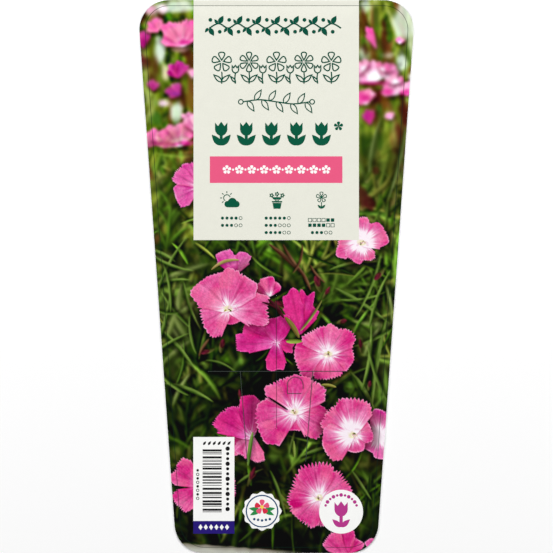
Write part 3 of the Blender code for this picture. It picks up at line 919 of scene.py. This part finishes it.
def picture_tile(name, box, pitch, colour_at, material):
    """Part of the printed face: a net of triangles through a grid of points and through every
    edge, score and slit, dipped into the scores and left out of the slits."""
    x0, y0, x1, y1 = box
    edge = outline(0.0)
    slits = [ribbon(path, FILM_KERF) for path in slit_paths()]
    border = closed(outline(BORDER_INSET))
    flanks = (-SCORE_WIDTH / 2, 0, SCORE_WIDTH / 2)
    lines = [closed(edge), closed(box_loop(*box))]
    lines += [closed(outline(BORDER_INSET + shift)) for shift in flanks]
    lines += [np.array([(shift, CREASE[0][1]), (shift, CREASE[1][1])]) for shift in flanks]
    lines += [closed(slit) for slit in slits]
    columns = np.linspace(x0, x1, int(round((x1 - x0) / pitch)) + 1)
    rows = np.linspace(y0, y1, int(round((y1 - y0) / pitch)) + 1)
    free = np.abs(columns)[None, :] < side_x(rows[:, None], 0.0)
    points, ties, count = [], [], 0
    for line in lines:
        line = dense(line, pitch)
        near = (np.abs(line[:, 1] - (y0 + y1) / 2) < (y1 - y0) / 2 + pitch)
        near &= (np.abs(line[:, 0] - (x0 + x1) / 2) < (x1 - x0) / 2 + pitch)
        both = np.flatnonzero(near[:-1] & near[1:])
        ties += [(count + i, count + i + 1) for i in both.tolist()]
        points.append(line)
        count += len(line)
        marks = dense(line[near], pitch / 3) if near.sum() > 1 else line[near]
        j = np.round((marks[:, 1] - y0) / (y1 - y0) * (len(rows) - 1)).astype(int)
        i = np.round((marks[:, 0] - x0) / (x1 - x0) * (len(columns) - 1)).astype(int)
        fits = (j >= 0) & (j < len(rows)) & (i >= 0) & (i < len(columns))
        free[j[fits], i[fits]] = False
    j, i = np.nonzero(free)
    points.append(np.stack([columns[i], rows[j]], 1))
    flat, faces = net(np.vstack(points), ties)
    x, y = flat[faces].mean(axis=1).T
    keep = (x > x0) & (x < x1) & (y > y0) & (y < y1) & within(edge, x, y)
    for slit in slits:
        keep &= ~within(slit, x, y)
    used, faces = np.unique(faces[keep], return_inverse=True)
    faces = faces.reshape(-1, 3)
    x, y = flat[used].T
    score_gap = np.minimum(gap_to(border, x, y), gap_to(CREASE, x, y))
    score = np.clip(1 - score_gap / (SCORE_WIDTH / 2), 0, 1)
    colour = colour_at(x, y)
    # The dark round each slit is a printed line and also painted shade of the slit
    slit_gap = np.min([gap_to(path, x, y) for path in slit_paths()], axis=0) - FILM_KERF / 2
    line_ink = np.maximum(np.clip(score * SCORE_SPREAD, 0, SCORE_INK),
                          np.clip(1 - slit_gap / SLIT_SHADE, 0, 1) * SLIT_LINE_AND_SHADE)
    colour = toward(colour, tone(LINE_INK), line_ink)
    z = SHEET_TOP + INK - FILM_DIP * score
    mesh = printed_piece(name, np.stack([x, y, z], 1), faces, colour, material)
    spread = mesh.uv_layers.new(name="OFBake")
    uv = np.stack([(x - x0) / (x1 - x0), (y - y0) / (y1 - y0)], 1)[faces.ravel()]
    spread.data.foreach_set("uv", uv.astype(np.float32).ravel())


def film(name, shapes, material):
    """Flat printed shapes above the picture: each is a colour and its closed outlines, filled
    where an odd number of them lie round a point. Each lies a hair above the one before."""
    points, faces, colours, count = [], [], [], 0
    for index, (code, loops) in enumerate(shapes):
        ties, spots = [], []
        for loop in loops:
            first = sum(len(other) for other in spots)
            ties += [(first + i, first + (i + 1) % len(loop)) for i in range(len(loop))]
            spots.append(np.asarray(loop, float))
        flat, triangles = net(np.vstack(spots), ties)
        x, y = flat[triangles].mean(axis=1).T
        inside = np.zeros(x.shape, bool)
        for loop in spots:
            inside ^= within(loop, x, y)
        level = SHEET_TOP + INK * 2 + FILM_STEP * index
        points.append(np.column_stack([flat, np.full(len(flat), level)]))
        faces.append(triangles[inside] + count)
        colours.append(np.tile(tone(code), (len(flat), 1)))
        count += len(flat)
    printed_piece(name, np.vstack(points), np.vstack(faces), np.vstack(colours), material)


# Outlines of the printed ornaments, all of them arrays of points


def box_loop(x0, y0, x1, y1):
    """Corners of an upright rectangle, anticlockwise."""
    return np.array([(x0, y0), (x1, y0), (x1, y1), (x0, y1)], float)


def disc(x, y, radius, sides=28):
    """A round: points at even turns on a circle."""
    turns = np.linspace(0, 2 * math.pi, sides, endpoint=False)
    return np.stack([x + radius * np.cos(turns), y + radius * np.sin(turns)], 1)


def scallop(x, y, radius, lobes, depth):
    """A round whose radius dips by a cosine of the turn, once between any two lobes."""
    turns = np.linspace(0, 2 * math.pi, lobes * 10, endpoint=False)
    far = radius * (1 - depth * (0.5 - 0.5 * np.cos(turns * lobes)))
    return np.stack([x + far * np.cos(turns), y + far * np.sin(turns)], 1)


def placed(u, v, x, y, heading):
    """Points given along and across a heading, moved to their place."""
    c, s = math.cos(heading), math.sin(heading)
    return np.stack([x + u * c - v * s, y + u * s + v * c], 1)


def leaf(x, y, heading, length, width, belly=0.8):
    """A pointed leaf: its half width follows a sine of the way along it."""
    t = np.linspace(0, 1, 11)
    half = width / 2 * np.sin(math.pi * t ** belly)
    u = np.concatenate([t, t[-2:0:-1]]) * length
    v = np.concatenate([-half, half[-2:0:-1]])
    return placed(u, v, x, y, heading)


def petal_loop(x, y, heading, length, width):
    """A blunt petal: its half width grows with the way along it, and closes at the end by the
    square root of one minus the fifth power of that way."""
    t = np.sin(np.linspace(0, math.pi / 2, 10))
    half = width / 2 * 1.2 * t ** 0.9 * np.sqrt(1 - t ** 5)
    u = np.concatenate([t, t[-2:0:-1]]) * length
    v = np.concatenate([-half, half[-2:0:-1]])
    return placed(u, v, x, y, heading)


def tulip(x, y, size):
    """A cup with three tips, on a base that is half a flattened round."""
    rim = [(-0.46, 1.0), (-0.24, 0.74), (0, 1.06), (0.24, 0.74), (0.46, 1.0)]
    turns = np.linspace(0, -math.pi, 11)
    base = [(0.46 * math.cos(t) * (1 - 0.1 * abs(math.sin(t))), 0.46 + 0.46 * math.sin(t)) for t in turns]
    return np.array([(x + size * u, y + size * v) for u, v in rim + base])


def line_round(loop, width):
    """A line of even width along a closed outline: the outline moved half the width each way."""
    loop = np.asarray(loop, float)
    before = sides_of(loop - np.roll(loop, 1, 0))
    after = sides_of(np.roll(loop, -1, 0) - loop)
    shift = mitres(before, after, width)
    return [loop + shift, loop - shift]


def stroke(points, width, steps=8):
    """A smooth line of even width through a few points, with a few steps to each stretch."""
    return ribbon(smooth_path(points, (len(points) - 1) * steps + 1), width)


# Ornaments, each a list of shapes: a colour and its outlines


def solid(colour, *loops):
    """A filled shape for each outline."""
    return [(colour, [loop]) for loop in loops]


def drawn(colour, line, *loops):
    """A thin line of even width round each outline."""
    return [(colour, line_round(loop, line)) for loop in loops]


def spokes(count):
    """Even headings all round, the first one upwards."""
    return [UP + 2 * math.pi * k / count for k in range(count)]


def blossom(x, y, length, width, count=5, ring=0.0):
    """Blunt petals at even headings, each with its foot on a small ring."""
    return [petal_loop(x + ring * math.cos(angle), y + ring * math.sin(angle), angle, length, width)
            for angle in spokes(count)]


def leaf_pair(x, y, lean, length, width):
    """Two leaves from one foot, leaning out to either side of straight up."""
    return [leaf(x, y, UP - side * lean, length, width) for side in (-1, 1)]


def garland(x0, x1, y, colour):
    """A waved vine: solid leaves point outwards from its bends, with berries in its hollows."""
    count = 14
    bends = [(x0 + (x1 - x0) * k / count, y + (0.9 if k % 2 else -0.9)) for k in range(count + 1)]
    shapes = solid(colour, stroke(bends, 0.6, 6))
    for k in range(count):
        x, side = bends[k][0], 1 if k % 2 else -1
        shapes += solid(colour, leaf(x, y + side * 0.8, side * 1.05, 3.6, 2.0),
                        leaf(x - 0.4, y + side * 0.8, math.pi - side * 0.95, 2.2, 1.2),
                        disc(x + 0.4, y - side * 2.3, 0.75, 16))
    return shapes


def line_flower(x, y, height, line, petals, colour):
    """A flower drawn in one thin line: petals round a ring, a stem and two leaves."""
    head, ring = height * 0.31, 0.75
    centre_y = y + height - head
    stem = stroke([(x, y), (x + 0.15, y + height * 0.2), (x, centre_y - head)], line)
    shapes = drawn(colour, line, *blossom(x, centre_y, head - ring, head * 3.9 / petals, petals, ring))
    shapes += solid(colour, stem)
    return shapes + drawn(colour, line, *leaf_pair(x, y + height * 0.06, 0.85, height * 0.33,
                                                   height * 0.12))


def line_bud(x, y, height, line, colour):
    """A closed flower drawn in one thin line, on a stem with one leaf."""
    neck = y + height * 0.55
    stem = stroke([(x, y), (x - 0.2, y + height * 0.3), (x, neck)], line)
    lone_leaf = leaf(x, y + height * 0.08, UP + 0.7, height * 0.38, height * 0.12)
    shapes = drawn(colour, line, tulip(x, neck, height * 0.36))
    return shapes + solid(colour, stem) + drawn(colour, line, lone_leaf)


def thin_title():
    """Thin line flowers and buds in a row, each bud between two flowers."""
    foot, pitch, line = 74.6, 10.6, 0.5
    shapes = []
    for k in range(5):
        shapes += line_flower(-21.2 + pitch * k, foot, 12.2, line, 6 if k % 2 else 5, DARK_GREEN)
    for k in range(4):
        shapes += line_bud(-15.9 + pitch * k, foot, 7.6, line, DARK_GREEN)
    return shapes


def thin_sprig():
    """A thin waved twig with line leaves on both sides and a ring at each end."""
    y, line = 67.6, 0.42
    twig = [(-13, y), (-6.5, y + 0.8), (0, y), (6.5, y - 0.8), (13, y)]
    shapes = solid(DARK_GREEN, stroke(twig, 0.5))
    for k in range(9):
        x = -11.2 + 2.8 * k
        foot = y + 0.75 * math.sin(-x / 13 * math.pi)
        shapes += drawn(DARK_GREEN, line, leaf(x, foot, 1.0 if k % 2 else -1.0, 4.6, 1.9))
    return shapes + drawn(DARK_GREEN, line, *(disc(side * 13.8, y, 0.9) for side in (-1, 1)))


def bold_row():
    """Bold solid tulips, each between two broad leaves, and a small blossom after the last."""
    foot = 50.7
    shapes = []
    for k in range(5):
        x = -21.4 + 9.7 * k
        shapes += solid(LEAF_GREEN, tulip(x, 54.4, 5.2), box_loop(x - 0.6, foot, x + 0.6, 54.8),
                        *leaf_pair(x, foot, 0.72, 5.6, 2.5))
    return shapes + solid(LEAF_GREEN, *blossom(24.0, 58.2, 1.8, 1.5))


def band_row():
    """The pink band and its row of small white blossoms with dots between them."""
    y, count, pitch, dot = (BAND[1] + BAND[3]) / 2, 9, 4.8, 0.42
    shapes = solid(BAND_PINK, box_loop(*BAND))
    for k in range(count):
        x = -19.2 + pitch * k
        shapes += solid(WHITE, *blossom(x, y, 1.7, 1.5)) + solid(BAND_PINK, disc(x, y, dot, 12))
        if k < count - 1:
            shapes += solid(WHITE, disc(x + pitch / 2, y, dot, 12))
    return shapes


def sun_and_cloud(x, y):
    """A ring of a sun with eight rays, behind a solid cloud of three rounds."""
    sun_x, sun_y, line = x - 1.6, y + 1.2, 0.36
    shapes = drawn(LEAF_GREEN, line, disc(sun_x, sun_y, 1.25))
    for angle in spokes(8):
        ends = [(sun_x + far * math.cos(angle), sun_y + far * math.sin(angle)) for far in (1.85, 2.6)]
        shapes += solid(LEAF_GREEN, ribbon(ends, line))
    rounds = [(-1.3, -1.2, 1.25), (0.5, -0.5, 1.75), (2.1, -1.2, 1.25)]
    for colour, extra in ((CREAM, 0.4), (LEAF_GREEN, 0.0)):
        shapes += solid(colour, *(disc(x + dx, y + dy, radius + extra) for dx, dy, radius in rounds),
                        box_loop(x - 1.3, y - 2.45 - extra, x + 2.1, y - 1.0))
    return shapes


def potted_plant(x, y):
    """A pot with three leafy stems and small blossoms."""
    pot = np.array([(x - 1.35, y - 3.2), (x + 1.35, y - 3.2), (x + 1.75, y - 0.9), (x - 1.75, y - 0.9)])
    shapes = solid(LEAF_GREEN, pot, box_loop(x - 2.0, y - 0.75, x + 2.0, y - 0.2))
    for side in (-1, 0, 1):
        top_x, top_y = x + side * 2.1, y + 2.5 - 0.5 * abs(side)
        stem = stroke([(x + side * 0.3, y - 0.3), (x + side * 1.3, y + 1.0), (top_x, top_y)], 0.32)
        shapes += solid(LEAF_GREEN, stem, scallop(top_x, top_y, 0.95, 5, 0.35))
        shapes += solid(CREAM, disc(top_x, top_y, 0.26, 12))
        shapes += solid(LEAF_GREEN, *leaf_pair(x + side * 0.8, y + 0.4, -0.8, 1.5, 0.7))
    return shapes


def small_flower(x, y):
    """One outlined blossom on a stem with two solid leaves."""
    head = y + 1.3
    stem = ribbon([(x, y - 0.6), (x, y - 3.2)], 0.34)
    shapes = drawn(LEAF_GREEN, 0.3, *blossom(x, head, 1.6, 1.5, 5, 0.4))
    return shapes + solid(LEAF_GREEN, disc(x, head, 0.45, 14), stem, *leaf_pair(x, y - 3.1, 0.8, 2.1, 0.9))


def rating_dots(x, y, count, full):
    """A row of dots, the first ones solid and the rest rings."""
    shapes = []
    for k in range(count):
        spot = disc(x + (k - (count - 1) / 2) * 1.75, y, 0.6, 16)
        shapes += solid(DARK_GREEN, spot) if k < full else drawn(DARK_GREEN, 0.2, spot)
    return shapes


def calendar(x, y, first, last):
    """Twelve small squares in two rows for the months, solid from the first to the last in flower."""
    shapes = []
    for month in range(12):
        left = x - 5.1 + 1.75 * (month % 6)
        foot = y + (1.0 if month < 6 else -1.0)
        square = box_loop(left, foot, left + 1.3, foot + 1.3)
        in_flower = first <= month + 1 <= last
        shapes += solid(DARK_GREEN, square) if in_flower else drawn(DARK_GREEN, 0.2, square)
    return shapes


def pictograms():
    """The three pictograms with dots and the flowering calendar under them."""
    shapes = sun_and_cloud(-17.6, 29.2) + potted_plant(0.2, 29.4) + small_flower(17.4, 29.4)
    for x, y, count, full in ((-17.4, 22.6, 5, 4), (-17.4, 19.8, 5, 3), (0.4, 22.6, 6, 5),
                              (0.4, 19.8, 6, 3), (0.4, 17.0, 6, 4)):
        shapes += rating_dots(x, y, count, full)
    return shapes + calendar(17.4, 20.2, 5, 10) + rating_dots(17.4, 17.0, 5, 3)


def bar_block():
    """White block of bars that stand for no number, between rows of beads, over a violet foot."""
    rng = np.random.default_rng(3)
    shapes = solid(WHITE, box_loop(*BAR_BLOCK)) + solid(VIOLET, box_loop(*VIOLET_BLOCK))
    module, y, foot, left, right = 0.27, -66.9, -91.2, -28.6, -21.2
    while y > foot:
        bar, gap = module * rng.integers(1, 4), module * rng.integers(1, 4)
        shapes += solid(BLACK, box_loop(left, y - bar, right, y))
        y -= bar + gap
    shapes += solid(BLACK, *(leaf(-28.4 + 1.9 * k, -65.2, 0.9, 1.9, 0.9) for k in range(6)))
    shapes += solid(BLACK, *(disc(-18.9, -66.6 - 1.95 * k, 0.62 if k % 3 else 0.85, 14)
                             for k in range(13)))
    for k in range(8):
        spot = disc(-30.5, -75.0 - 1.55 * k, 0.5, 12)
        shapes += drawn(BLACK, 0.24, spot) if k % 2 else solid(BLACK, spot)
    for k in range(6):
        x = -29.4 + 2.05 * k
        shapes += solid(WHITE, np.array([(x - 0.8, -97.0), (x, -98.1), (x + 0.8, -97.0), (x, -95.9)]))
    return shapes


def badge():
    """White scalloped seal with a blue ring, a red and pink blossom, green leaves and beads."""
    x, y, radius = BADGE
    shapes = solid(WHITE, scallop(x, y, radius, 12, 0.09))
    shapes += drawn(SEAL_BLUE, 0.5, disc(x, y, radius * 0.80, 40))
    for side in (-1, 1):
        for angle in (0.15, -0.45):
            heading = angle if side > 0 else math.pi - angle
            shapes += solid(SEAL_GREEN, leaf(x + side * 0.6, y + 0.4, heading, 4.6, 1.7))
    for k, loop in enumerate(blossom(x, y + 1.6, 2.9, 2.5)):
        shapes += solid(SEAL_RED if k % 2 else SEAL_PINK, loop)
    shapes += solid(SEAL_YELLOW, disc(x, y + 1.6, 0.7, 16))
    return shapes + solid(SEAL_BLUE, *(disc(x - 3.0 + 1.5 * k, y - 3.6 + 0.25 * abs(k - 2), 0.5, 14)
                                       for k in range(5)))


def price_disc():
    """White disc with an arc of magenta dots over a bold magenta tulip."""
    x, y, radius = DISC
    foot = y - 6.0
    shapes = solid(WHITE, disc(x, y, radius, 56))
    for k in range(11):
        angle = math.radians(158 - 13.6 * k)
        spot = (x + radius * 0.76 * math.cos(angle), y + radius * 0.76 * math.sin(angle))
        shapes += solid(MAGENTA, disc(*spot, 0.72 if k % 2 else 0.5, 14))
    return shapes + solid(MAGENTA, tulip(x, y - 1.9, 5.6), box_loop(x - 0.65, foot, x + 0.65, y - 1.6),
                          *leaf_pair(x, foot, 0.85, 4.6, 2.0))


# Materials


def add(tree, kind, settings=None, links=None):
    """Adds a node with its settings and input values. Links go from an input's name or number to
    the node and output that feed it."""
    node = tree.nodes.new(kind)
    for key, value in (settings or {}).items():
        if isinstance(key, int) or key in node.inputs.keys():
            node.inputs[key].default_value = value
        else:
            setattr(node, key, value)
    feed(tree, node, links or {})
    return node


def feed(tree, node, links):
    """Links a node's inputs, each given by its name or number, to a node and output."""
    for key, (source, output) in links.items():
        tree.links.new(source.outputs[output], node.inputs[key])


def finish_of(name):
    """A new material with its node tree and shader."""
    material = bpy.data.materials.new(name)
    material.use_nodes = True
    tree = material.node_tree
    return material, tree, tree.nodes["Principled BSDF"]


def printed_ink():
    """Offset print on polypropylene under clear varnish: inks laid in fine dots on a smooth
    sheet, so the colours carry a faint grain, and a thin gloss coat with slight orange peel."""
    dot, cloud_size, peel_size = 0.19, 3.8, 1.1
    material, tree, shader = finish_of("offset_print_varnished")
    place = {"Vector": (add(tree, "ShaderNodeTexCoord"), "Object")}
    ink = add(tree, "ShaderNodeVertexColor", {"layer_name": "ink"})
    # Real print dots are 0.15 mm apart. These are a little coarser, so that the grain just shows.
    dots = add(tree, "ShaderNodeTexNoise", {"Scale": 1 / (dot * MM), "Detail": 1}, place)
    mottle = add(tree, "ShaderNodeTexNoise", {"Scale": 1 / (cloud_size * MM), "Detail": 3}, place)
    grain = add(tree, "ShaderNodeMapRange", {"To Min": 0.93, "To Max": 1.07}, {"Value": (dots, "Fac")})
    uneven = add(tree, "ShaderNodeMapRange", {"To Min": 0.975, "To Max": 1.025},
                 {"Value": (mottle, "Fac")})
    both = add(tree, "ShaderNodeMath", {"operation": "MULTIPLY"},
               {0: (grain, "Result"), 1: (uneven, "Result")})
    shade = add(tree, "ShaderNodeVectorMath", {"operation": "SCALE"},
                {"Vector": (ink, "Color"), "Scale": (both, "Value")})
    rough = add(tree, "ShaderNodeMapRange", {"To Min": 0.36, "To Max": 0.46}, {"Value": (mottle, "Fac")})
    peel = add(tree, "ShaderNodeTexNoise", {"Scale": 1 / (peel_size * MM), "Detail": 2}, place)
    bump = add(tree, "ShaderNodeBump", {"Strength": 0.12, "Distance": 0.02 * MM}, {"Height": (peel, "Fac")})
    feed(tree, shader, {"Base Color": (shade, "Vector"), "Roughness": (rough, "Result"),
                        "Normal": (bump, "Normal")})
    shader.inputs["Specular IOR Level"].default_value = 0.05
    shader.inputs["Coat Weight"].default_value = 0.4
    shader.inputs["Coat Roughness"].default_value = 0.1
    return material


def white_polypropylene():
    """White polypropylene sheet, extruded and die-cut: satin, a little see-through, with faint flow lines
    along its length, a slightly rubbed back and painted shade on the upright walls of its slits."""
    flow_width, flow_stretch, rub_size, grit = 1.1, 0.03, 17.0, 0.33
    material, tree, shader = finish_of("white_polypropylene_sheet")
    space = add(tree, "ShaderNodeTexCoord")
    place = {"Vector": (space, "Object")}
    stretch = add(tree, "ShaderNodeMapping", {"Scale": (1.0, flow_stretch, 1.0)}, place)
    flow = add(tree, "ShaderNodeTexNoise", {"Scale": 1 / (flow_width * MM), "Detail": 3},
               {"Vector": (stretch, "Vector")})
    rub = add(tree, "ShaderNodeTexNoise", {"Scale": 1 / (rub_size * MM), "Detail": 5}, place)
    tint = add(tree, "ShaderNodeMix", {"data_type": "RGBA", "A": socket_colour(WORN_WHITE),
                                           "B": socket_colour(CLEAN_WHITE)}, {"Factor": (rub, "Fac")})
    # A real slit is closed, so its shade makes a fine dark line. The walls of these wider ones are painted
    # near black as that shade: they are the upright faces more than 1 mm inside the outer edge.
    up = add(tree, "ShaderNodeSeparateXYZ", None,
             {"Vector": (add(tree, "ShaderNodeNewGeometry"), "True Normal")})
    spot = add(tree, "ShaderNodeSeparateXYZ", None, place)
    slope = (HEAD_WIDTH - FOOT_WIDTH) / 2 / SHEET_LENGTH
    steep = add(tree, "ShaderNodeMath", {"operation": "COMPARE", 1: 0.0, 2: 0.5}, {0: (up, "Z")})
    reach = add(tree, "ShaderNodeMath", {"operation": "MULTIPLY_ADD", 1: slope, 2: side_x(0.0, 1.0) * MM},
                {0: (spot, "Y")})
    inner = add(tree, "ShaderNodeMath", {"operation": "COMPARE", 1: 0.0},
                {0: (spot, "X"), 2: (reach, "Value")})
    middle = add(tree, "ShaderNodeMath",
                 {"operation": "COMPARE", 1: 0.0, 2: (SHEET_LENGTH / 2 - 1) * MM}, {0: (spot, "Y")})
    wall = add(tree, "ShaderNodeMath", {"operation": "MULTIPLY"}, {0: (steep, "Value"), 1: (inner, "Value")})
    slit = add(tree, "ShaderNodeMath", {"operation": "MULTIPLY"}, {0: (wall, "Value"), 1: (middle, "Value")})
    # Painted shade: the colour of the slit walls mixed to near black
    cut = add(tree, "ShaderNodeMix", {"data_type": "RGBA", "B": socket_colour(SLIT_WALL_SHADE)},
              {"Factor": (slit, "Value"), "A": (tint, "Result")})
    rough = add(tree, "ShaderNodeMapRange", {"To Min": 0.32, "To Max": 0.5}, {"Value": (flow, "Fac")})
    fine = add(tree, "ShaderNodeTexNoise", {"Scale": 1 / (grit * MM), "Detail": 2}, place)
    height = add(tree, "ShaderNodeMath", {"operation": "ADD"}, {0: (flow, "Fac"), 1: (fine, "Fac")})
    bump = add(tree, "ShaderNodeBump", {"Strength": 0.2, "Distance": 0.02 * MM},
               {"Height": (height, "Value")})
    feed(tree, shader, {"Base Color": (cut, "Result"), "Roughness": (rough, "Result"),
                        "Normal": (bump, "Normal")})
    shader.inputs["Subsurface Weight"].default_value = 0.15
    shader.inputs["Subsurface Radius"].default_value = (1, 1, 1)
    shader.inputs["Subsurface Scale"].default_value = 0.4 * MM
    return material


def white_floor():
    """Matt white paper under the label, as in a flat copy of printed artwork."""
    material, _, shader = finish_of("white_paper_floor")
    shader.inputs["Base Color"].default_value = socket_colour(FLOOR_WHITE)
    shader.inputs["Roughness"].default_value = 0.95
    shader.inputs["Specular IOR Level"].default_value = 0.1
    return material


def build_floor():
    """A wide square with a window under the label, so that the label's back is lit too. The
    window's edge stays a little inside the sheet's edge and never shows from above."""
    window = outline(FLOOR_LAP)
    square = box_loop(-FLOOR_REACH, -FLOOR_REACH, FLOOR_REACH, FLOOR_REACH)
    count = len(window)
    ties = [(i, (i + 1) % count) for i in range(count)]
    ties += [(count + i, count + (i + 1) % 4) for i in range(4)]
    flat, faces = net(np.vstack([window, square]), ties)
    x, y = flat[faces].mean(axis=1).T
    faces = faces[~within(window, x, y)]
    mesh = bpy.data.meshes.new("floor")
    points = np.column_stack([flat, np.full(len(flat), -FLOOR_DROP)]) * MM
    mesh.from_pydata(points.tolist(), [], faces.tolist())
    mesh.materials.append(white_floor())
    floor = bpy.data.objects.new("floor", mesh)
    bpy.context.scene.collection.objects.link(floor)


def build_stage():
    """White floor, soft studio light from three sides and the camera straight above. Two lamps
    under the floor light the label's back."""
    scene = bpy.context.scene
    scene.view_settings.view_transform = "Standard"
    world = bpy.data.worlds.new("studio")
    scene.world = world
    world.use_nodes = True
    background = world.node_tree.nodes["Background"]
    background.inputs["Color"].default_value = (1, 1, 1, 1)
    background.inputs["Strength"].default_value = WORLD_STRENGTH
    build_floor()
    for name, x, y, z, power in LAMPS:
        lamp = bpy.data.lights.new(name, "AREA")
        lamp.energy = power
        lamp.size = LAMP_SIDE
        light = bpy.data.objects.new(name, lamp)
        light.location = (x, y, z)
        light.rotation_euler = Vector((x, y, z)).to_track_quat("Z", "Y").to_euler()
        scene.collection.objects.link(light)
    lens = bpy.data.cameras.new("camera")
    lens.lens = LENS
    lens.sensor_width = SENSOR
    camera = bpy.data.objects.new("camera", lens)
    camera.location = (0, 0, (SHEET_LENGTH * LENS / SENSOR + SHEET_TOP) * MM)
    scene.collection.objects.link(camera)
    scene.camera = camera


def build():
    """Paints the picture, lays it on the sheet in tiles, prints the rest over it and lights it."""
    paper = paint_picture()
    print_finish = printed_ink()
    rows = np.linspace(-SHEET_LENGTH / 2, PANEL[1], TILE_ROWS + 1)
    for index, (foot, head) in enumerate(zip(rows[:-1], rows[1:])):
        reach = side_x(head, 0.0) + TRIM
        box = (-reach, foot, reach, head)
        picture_tile(f"picture_{index}", box, PICTURE_PITCH, paper.read, print_finish)
    outer = HEAD_WIDTH / 2 + TRIM
    for name, left, right in (("picture_left_strip", -outer, PANEL[0]),
                              ("picture_right_strip", PANEL[2], outer)):
        picture_tile(name, (left, PANEL[1], right, PANEL[3]), STRIP_PITCH, paper.read, print_finish)
    picture_tile("cream_panel", PANEL, PANEL_PITCH, lambda x, y: np.tile(tone(CREAM), (len(x), 1)),
                 print_finish)
    for name, shapes in (("leaf_garland", garland(-26.0, 25.0, 97.0, DARK_GREEN)),
                         ("thin_title_flowers", thin_title()), ("thin_sprig", thin_sprig()),
                         ("bold_tulips", bold_row()), ("pink_band", band_row()),
                         ("pictograms", pictograms()), ("bar_block", bar_block()),
                         ("seal", badge()), ("price_disc", price_disc())):
        film(name, shapes, print_finish)
    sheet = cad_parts["label_sheet"]
    sheet.data.materials.clear()
    sheet.data.materials.append(white_polypropylene())
    build_stage()


build()
